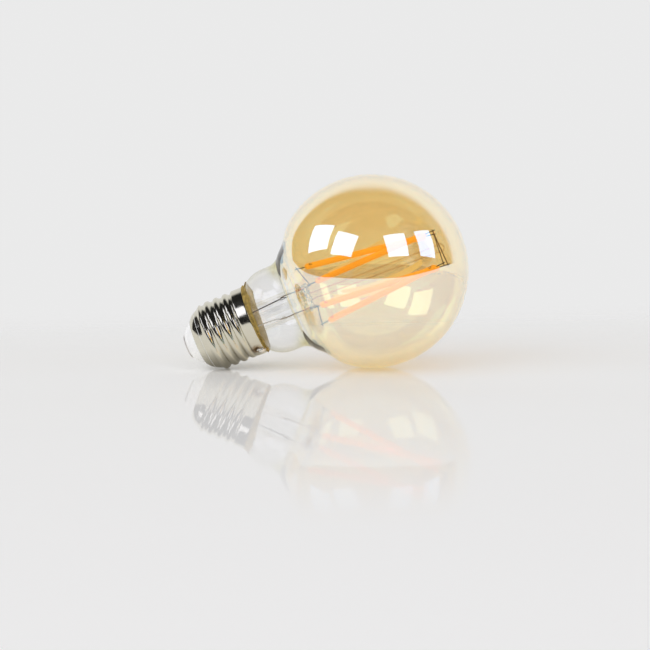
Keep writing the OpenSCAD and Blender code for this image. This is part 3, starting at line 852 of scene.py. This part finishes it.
def make_rod():
    """Glass rod from the press to a melted button that holds the two top wires."""
    steps = 40
    along = [rod_foot.lerp(button_centre, i / steps) for i in range(steps)]
    direction = (button_centre - rod_foot).normalized()
    path = [p for p in along if (p - button_centre).dot(direction) < -BUTTON_D / 2 - 0.1]
    path += [button_centre + direction * BUTTON_D / 2 * (i / 8 * 2 - 1) for i in range(9)]

    def radius(t):
        place = rod_foot.lerp(path[-1], t)
        base = ROD_D / 2 * (1 + 0.03 * lump((0, 0, place.z), 3.0, 7))
        away = (place - button_centre).dot(direction) / (BUTTON_D / 2)
        if abs(away) < 1:
            base = max(base if away < 0 else 0.15, BUTTON_D / 2 * math.sqrt(1 - away ** 2) * 0.96)
        foot = 1 + 0.25 * (1 - smoothstep(0, 0.04, t))
        return base * foot

    points = []
    total = sum((b - a).length for a, b in zip(path, path[1:]))
    run = 0.0
    sides = 40
    for k, (p, (u, v)) in enumerate(zip(path, frames_along(path))):
        if k:
            run += (p - path[k - 1]).length
        r = radius(run / total) if k < len(path) - 1 else 0.2
        for angle in turns(sides):
            points.append(p + (u * math.cos(angle) + v * math.sin(angle)) * r)
    faces = grid_faces(len(path), sides) + end_faces(0, len(points) - sides, sides)
    obj = make_object("glass_rod", points, faces, [MATERIALS["rod"]])
    return stands_for(obj, "clear_glass", "support_rod")


make_stem()
make_exhaust_tube()
make_rod()

# ---------------------------------------------------------------- filaments and wires

FILAMENT_D = 2.3
PIN_D = 0.4
PIN_TAIL = 0.9
filament_axes = [axis_of(f"led_filament_{i}") for i in range(1, 5)]
pin_tips = [axis_of(f"filament_terminals_{i}") for i in range(1, 5)]


def make_filament(index):
    """Coated strip of chips: a round soft rod, a little uneven, with full round ends."""
    low, high = filament_axes[index]
    direction = (high - low).normalized()
    steps = 90
    r = FILAMENT_D / 2
    length = (high - low).length
    ends = [0.02, 0.12, 0.3, 0.55, 0.8, 1.0]
    stations = [r * e for e in ends] + [r + (length - 2 * r) * i / steps for i in range(1, steps)]
    stations += [length - r * e for e in reversed(ends)]
    side = direction.cross(Vector((0, 0, 1))).normalized()
    up = side.cross(direction)
    sides = 28
    points = []
    for at in stations:
        end = min(at, length - at)
        ring = r * math.sqrt(max(0.0, 1 - (1 - min(1.0, end / r)) ** 2))
        bulge = 1 + 0.035 * (1 - smoothstep(1.5, 4.5, end))
        for angle in turns(sides):
            out = side * math.cos(angle) + up * math.sin(angle)
            uneven = 1 + 0.025 * lump(low + direction * at + out, 1.6, index) * smoothstep(0.3, 1.5, end)
            points.append(low + direction * at + out * ring * bulge * uneven * 0.985)
    faces = grid_faces(len(stations), sides) + end_faces(0, len(points) - sides, sides)
    obj = make_object(f"filament_{index + 1}", points, faces, [MATERIALS["filament"]])
    return stands_for(obj, "filament_coating", f"led_filament_{index + 1}")


def make_terminals(index):
    """Stamped strip at each end, from its welded tip into the coating, with its eye at the surface."""
    low, high = filament_axes[index]
    tip_low, tip_high = pin_tips[index]
    direction = (high - low).normalized()
    toward_eye = direction.cross(Vector((0.3, 0.9, 0.2))).normalized()
    runs = []
    for tip, end, inward in ((tip_low, low, direction), (tip_high, high, -direction)):
        start = tip + (end - tip) * 0.02
        runs.append(([start, start.lerp(end, 0.5), end + inward * 0.5, end + inward * 1.6], PIN_D / 2, 0.55))
        across = inward.cross(toward_eye)
        centre = end + inward * 2.3 + toward_eye * (FILAMENT_D / 2 - 0.02)
        eye = [centre + inward * 0.55 * math.cos(a) + across * 0.42 * math.sin(a)
               for a in [math.tau * i / 16 for i in range(15)]]
        runs.append((eye, 0.11))
    obj = tubes(f"terminals_{index + 1}", runs, [MATERIALS["terminal"]], sides=10)
    return stands_for(obj, "terminal_metal", f"filament_terminals_{index + 1}")


def bent(points, seed, sway=0.05):
    """A wire's own line: a curve through the points that wanders a little."""
    path = spline(points, 5)
    last = len(path) - 1
    return [p + Vector((lump(p, 3.0, seed), lump(p, 3.0, seed + 5), 0)) * sway * min(1.0, k, last - k)
            for k, p in enumerate(path)]


def weld_parts(centre, seed, first):
    return nugget_parts(centre, 0.33, seed, first=first, rings=6, sides=10)


def arm_radius(t):
    """Radius along an arm, pressed a little thinner at its weld."""
    return LEAD_D / 2 * (1 - 0.25 * smoothstep(0.8, 0.86, t) * (1 - smoothstep(0.92, 0.98, t)))


def make_inner_lead(number, side, first, second):
    """Lead that leaves the press and branches to the low pins of two filaments, welded across them."""
    foot = Vector((0, side * LEAD_Y, PRESS_TOP_Z - 1.6))
    knee = Vector((0, side * LEAD_Y, PRESS_TOP_Z + 0.7))
    parts = ([], [])
    trunk = bent([foot, foot.lerp(knee, 0.5), knee], number)
    add_parts(parts, tube_parts(trunk, LEAD_D / 2))
    for index in (first, second):
        low, high = filament_axes[index]
        tip = pin_tips[index][0]
        pin = tip + (low - tip).normalized() * PIN_TAIL
        across = (high - low).cross(knee - pin).normalized()
        touch = pin + across * (PIN_D + LEAD_D) / 2 * 0.9
        beyond = touch + (touch - knee).normalized() * PIN_TAIL
        arm = bent([knee - Vector((0, 0, 0.25)), knee.lerp(touch, 0.12) + Vector((0, 0, 0.12)),
                    knee.lerp(touch, 0.5), touch, beyond], index + 3, 0.08)
        add_parts(parts, tube_parts(arm, arm_radius, first=len(parts[0])))
        add_parts(parts, weld_parts((pin + touch) / 2, index, len(parts[0])))
    obj = make_object(f"inner_support_{number}", parts[0], parts[1], [MATERIALS["lead"]])
    return stands_for(obj, "lead_wire", f"inner_lead_{number}")


def make_top_wire(number):
    """Support wire held in the button, welded across the top pins of two filaments."""
    a, b = top_ends[number - 1]
    middle = (a + b) / 2
    path = bent([a, a.lerp(middle, 0.5), middle, middle.lerp(b, 0.5), b], number + 9, 0.1)
    parts = ([], [])
    add_parts(parts, tube_parts(path, LEAD_D / 2))
    for index in (number - 1, number + 1):
        low, high = filament_axes[index]
        tip = pin_tips[index][1]
        pin = tip + (high - tip).normalized() * PIN_TAIL
        near = min(path, key=lambda p: (p - pin).length)
        add_parts(parts, weld_parts((pin + near) / 2, index + 20, len(parts[0])))
    obj = make_object(f"top_wire_{number}", parts[0], parts[1], [MATERIALS["lead"]])
    return stands_for(obj, "lead_wire", f"top_support_wire_{number}")


def make_outer_lead(number, side):
    y = side * LEAD_Y
    foot = SPLICE_Z[number]
    path = [(0.05, y - side * 0.1, foot), (-0.05, y + side * 0.05, foot + 2.2), (0.04, y, foot + 4.6),
            (0, y, PRESS_Z + 0.4)]
    obj = tubes(f"lead_in_{number}", [(bent(path, number + 30, 0.08), LEAD_D / 2)], [MATERIALS["lead"]])
    return stands_for(obj, "lead_wire", f"outer_lead_{number}")


def make_seal_wire(number, side):
    y = side * LEAD_Y
    path = [(0, y, PRESS_Z + 0.4), (0.05, y, PRESS_Z + 1.6), (-0.03, y, PRESS_Z + 2.8),
            (0, y, PRESS_TOP_Z - 1.6)]
    obj = tubes(f"seal_{number}", [(bent(path, number + 40, 0.03), 0.22)], [MATERIALS["seal"]])
    return stands_for(obj, "seal_wire", f"press_seal_wire_{number}")


def make_driver_wire(number, side):
    """Thin wire from the driver up the flare tube. The first is two twisted strands with a knot."""
    route = [(2, 5.2, 9.6), (2, 5.2, 14), (1.9, 4.4, 18.5), (1.6, 3.2, 23), (0.5, 3.0, 27), (0, 3.0, 30),
             (0, 3.25, 34), (0, 3.55, SPLICE_Z[number] - 0.5)]
    line = spline([(x, side * y, z) for x, y, z in route], 30)
    runs = []
    for strand in ((0, 1) if number == 1 else (0,)):
        path = []
        for p in line:
            apart = 0.13 * smoothstep(22, 26, p.z) if number == 1 else 0.0
            turn = math.tau * p.z / 2.6 + math.pi * strand
            path.append(p + Vector((math.cos(turn), math.sin(turn), 0)) * apart)
        foot = path[-1]
        if number == 1 and strand:
            bends = [(0.1, -0.45, 0.5), (0.1, -0.5, 1.2), (0, -0.3, 3.6)]
        else:
            bends = [(0.4, side * 0.2, 0.3), (0.2, side * 0.4, 1.0), (-0.35, side * 0.2, 1.5),
                     (0, side * 0.05, 2.6)]
        path += spline([foot] + [foot + Vector(bend) for bend in bends], 6)[1:]
        runs.append((path, 0.12 if number == 1 else 0.2))
    material = MATERIALS["driver_wire" if number == 1 else "tinned"]
    obj = tubes(f"driver_lead_{number}", runs, [material], sides=8)
    return stands_for(obj, "tinned_wire", f"driver_wire_{number}")


for index in range(4):
    make_filament(index)
    make_terminals(index)
make_inner_lead(1, 1, 0, 1)
make_inner_lead(2, -1, 2, 3)
for number, side in ((1, 1), (2, -1)):
    make_top_wire(number)
    make_outer_lead(number, side)
    make_seal_wire(number, side)
    make_driver_wire(number, side)

# ---------------------------------------------------------------- carried-over nodes

carried = {
    "sleeve": ["insulating_sleeve"],
    "green_board": ["driver_board"],
    "resistor": ["fusible_resistor"],
    "epoxy": ["bridge_rectifier", "driver_chip"],
    "capacitor": ["bulk_capacitor"],
    "ferrite": ["inductor"],
    "film_case": ["film_capacitor"],
    "blue_board": ["wireless_board"],
    "shield": ["shield_can"],
    "antenna": ["antenna"],
}
for material_name, nodes in carried.items():
    for name in nodes:
        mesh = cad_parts[name].data
        mesh.materials.clear()
        mesh.materials.append(MATERIALS[material_name])

# ---------------------------------------------------------------- studio

LOOK_SIDE = math.radians(201)
LEAN_TO_CAMERA = math.radians(6.1)
AXIS_SLOPE = math.radians(22.33)
CAMERA_RISE = math.radians(6.0)
CAMERA_ROLL = math.radians(0.97)
CAMERA_DISTANCE = 900.0
GLOBE_RIGHT = 17.4
GLOBE_UP = 20.06
LENS = 134.1

lamp_axis = Vector((0, 0, 1))
to_camera = (Vector((math.cos(LOOK_SIDE), math.sin(LOOK_SIDE), 0)) * math.cos(LEAN_TO_CAMERA)
             + lamp_axis * math.sin(LEAN_TO_CAMERA))
axis_seen = (lamp_axis - to_camera * lamp_axis.dot(to_camera)).normalized()
across_seen = to_camera.cross(axis_seen)
camera_right = axis_seen * math.cos(AXIS_SLOPE) - across_seen * math.sin(AXIS_SLOPE)
camera_up = to_camera.cross(camera_right)
floor_up = ((camera_up * math.cos(CAMERA_ROLL) - camera_right * math.sin(CAMERA_ROLL)) * math.cos(CAMERA_RISE)
            + to_camera * math.sin(CAMERA_RISE))
globe_centre = Vector((0, 0, GLOBE_Z))


def make_camera():
    data = bpy.data.cameras.new("camera")
    data.lens = LENS
    data.sensor_width = 36
    camera = bpy.data.objects.new("camera", data)
    bpy.context.scene.collection.objects.link(camera)
    place = globe_centre - camera_right * GLOBE_RIGHT - camera_up * GLOBE_UP + to_camera * CAMERA_DISTANCE
    turn = Matrix((camera_right, camera_up, to_camera)).transposed().to_4x4()
    camera.matrix_world = Matrix.Translation(place * MM) @ turn
    bpy.context.scene.camera = camera


PALE = 0.825
DARK_ROOM = 0.018
PANEL_GLOW = 1.6
PANEL_AWAY = 2000.0
PANEL_SPAN = 0.46
PANEL_COLOUR = (0.96, 0.98, 1.14)
# Each panel: how far right, up and toward the camera, roll in degrees, and width as a share of height.
PANELS = [(-0.824, 0.525, 0.214, 24, 1.0), (-0.532, 0.484, 0.695, -3, 1.0),
          (0.453, 0.472, 0.756, -3, 0.96), (0.858, 0.434, 0.277, -17, 0.8)]
SKY_GLOW = 1.6
SKY_SPREAD = math.radians(85)


def add_light(name, kind, direction, roll=0.0):
    side = floor_up.cross(direction).normalized()
    data = bpy.data.lights.new(name, kind)
    light = bpy.data.objects.new(name, data)
    bpy.context.scene.collection.objects.link(light)
    turn = Matrix((side, direction.cross(side), direction)).transposed() @ Matrix.Rotation(roll, 3, "Z")
    light.matrix_world = Matrix.Translation((globe_centre + direction * PANEL_AWAY) * MM) @ turn.to_4x4()
    light.visible_camera = False
    return light


def make_lights():
    """Four soft white panels above the camera, two windows in two halves each, and a broad light overhead."""
    size = PANEL_AWAY * PANEL_SPAN * MM
    for i, (right, up, toward, roll, width) in enumerate(PANELS):
        direction = (camera_right * right + camera_up * up + to_camera * toward).normalized()
        light = add_light(f"panel_{i + 1}", "AREA", direction, math.radians(roll))
        light.data.shape = "RECTANGLE"
        light.data.size = size * width
        light.data.size_y = size
        light.data.energy = PANEL_GLOW * math.pi * size ** 2 * width
        light.data.color = PANEL_COLOUR
    overhead = (floor_up * 0.85 - camera_right * 0.2 + to_camera * 0.45).normalized()
    sky = add_light("overhead", "SUN", overhead)
    sky.data.energy = SKY_GLOW
    sky.data.angle = SKY_SPREAD
    sky.visible_glossy = False


FLOOR_FRONT = 520.0
FLOOR_BACK = 230.0
FLOOR_SIDE = 600.0
FADE_END = 60.0
MIRROR_NEAR = 140.0
MIRROR_FAR = 330.0
MIRROR_SHARE = 0.28
CAP_TOUCH_Z = 10.0
TOUCH_SHADE_IN = 4.0
TOUCH_SHADE_OUT = 22.0


def make_floor():
    """Pale table under the lying lamp. It fades into the backdrop behind the lamp, and is open from below.

    The lamp mirrors in it, except toward the front. Where the cap touches down, reflections see a painted
    shadow on it.
    """
    ahead = (to_camera - floor_up * to_camera.dot(floor_up)).normalized()
    right = ahead.cross(floor_up) * -1
    foot = globe_centre - floor_up * GLOBE_R
    material, tree = new_material("floor")
    place = object_place(tree)
    forward = add_node(tree, "ShaderNodeSeparateXYZ", {"Vector": place}).outputs["Y"]
    ray = add_node(tree, "ShaderNodeLightPath").outputs
    bright = maths(tree, "MULTIPLY_ADD", ray["Is Glossy Ray"], 0.05, 0.10)
    shine = add_node(tree, "ShaderNodeEmission", {
        "Color": rgba((1.0, 0.95, 0.85)), "Strength": bright}).outputs[0]
    down = Vector((-floor_up.x, -floor_up.y, 0)).normalized()
    touch = Vector((0, 0, CAP_TOUCH_Z)) + down * CAP_R - foot
    gap = distance_to(tree, place, Vector((-touch.dot(right), touch.dot(ahead), 0)))
    # Painted shadow round the cap's touch-down, seen only by mirrored rays.
    shaded = maths(tree, "MULTIPLY", ray["Is Glossy Ray"],
                   remap(tree, gap, TOUCH_SHADE_IN * MM, TOUCH_SHADE_OUT * MM, 0.85, 0.0))
    matt = mix_shaders(tree, shaded, diffuse(tree, (0.845, 0.84, 0.815)), diffuse(tree, (0.10, 0.09, 0.07)))
    lit = add_node(tree, "ShaderNodeAddShader", {0: shine, 1: matt}).outputs[0]
    mirrored = maths(tree, "MULTIPLY", ray["Is Camera Ray"],
                     remap(tree, forward, MIRROR_NEAR * MM, MIRROR_FAR * MM, MIRROR_SHARE, 0.0))
    top = mix_shaders(tree, mirrored, lit, mirror(tree))
    behind = add_node(tree, "ShaderNodeNewGeometry").outputs["Backfacing"]
    share = maths(tree, "MAXIMUM", behind, remap(tree, forward, -FLOOR_BACK * MM, -FADE_END * MM, 1.0, 0.0))
    output(tree, mix_shaders(tree, share, top, see_through(tree, (1, 1, 1))))
    corners = [(-FLOOR_SIDE, -FLOOR_BACK, 0), (FLOOR_SIDE, -FLOOR_BACK, 0),
               (FLOOR_SIDE, FLOOR_FRONT, 0), (-FLOOR_SIDE, FLOOR_FRONT, 0)]
    floor = make_object("floor", corners, [(0, 1, 2, 3)], [material], smooth=False)
    turn = Matrix((-right, ahead, floor_up)).transposed().to_4x4()
    floor.matrix_world = Matrix.Translation(foot * MM) @ turn


def dot_with(tree, direction, vector):
    made = add_node(tree, "ShaderNodeVectorMath", {0: direction, 1: vector}, operation="DOT_PRODUCT")
    return made.outputs["Value"]


def make_world():
    """Plain pale surroundings. What mirrors see is a white table and backdrop, and a dark room past them."""
    world = bpy.data.worlds.new("studio")
    bpy.context.scene.world = world
    world.use_nodes = True
    tree = world.node_tree
    tree.nodes.clear()
    direction = add_node(tree, "ShaderNodeTexCoord").outputs["Generated"]
    toward = dot_with(tree, direction, to_camera)
    right = dot_with(tree, direction, camera_right)
    aside = maths(tree, "ABSOLUTE", right)
    above = dot_with(tree, direction, floor_up)
    sharpness = maths(tree, "MINIMUM", maths(tree, "DIVIDE", aside, 0.75), 1.0)
    near_edge = maths(tree, "MULTIPLY_ADD", sharpness, remap(tree, right, -0.2, 0.4, -0.32, -0.06), -0.20)
    far_edge = maths(tree, "MULTIPLY_ADD", sharpness, remap(tree, right, -0.2, 0.4, 0.06, 0.19), -0.65)
    backdrop = remap(tree, toward, far_edge, near_edge, 1.0, 0.0)
    table_edge = maths(tree, "MULTIPLY_ADD", maths(tree, "MAXIMUM", toward, 0.0), -0.10,
                       remap(tree, right, 0.3, 1.0, -0.005, 0.04))
    table = remap(tree, above, table_edge, maths(tree, "ADD", table_edge, 0.01), 1.0, 0.0)
    white = maths(tree, "MAXIMUM", backdrop, table)
    room = ramp(tree, white, [(0.0, (DARK_ROOM, DARK_ROOM, DARK_ROOM)), (1.0, (PALE, PALE, PALE))])
    seen = add_node(tree, "ShaderNodeLightPath").outputs["Is Camera Ray"]
    mixed = add_node(tree, "ShaderNodeMix", {"Factor": seen, 6: room, 7: (PALE, PALE, PALE, 1)},
                     data_type="RGBA")
    background = add_node(tree, "ShaderNodeBackground", {"Color": mixed.outputs[2], "Strength": 1.0})
    add_node(tree, "ShaderNodeOutputWorld", {"Surface": background.outputs[0]})


make_camera()
make_lights()
make_floor()
make_world()
scene = bpy.context.scene
scene.view_settings.view_transform = "Standard"
scene.cycles.transparent_max_bounces = 64
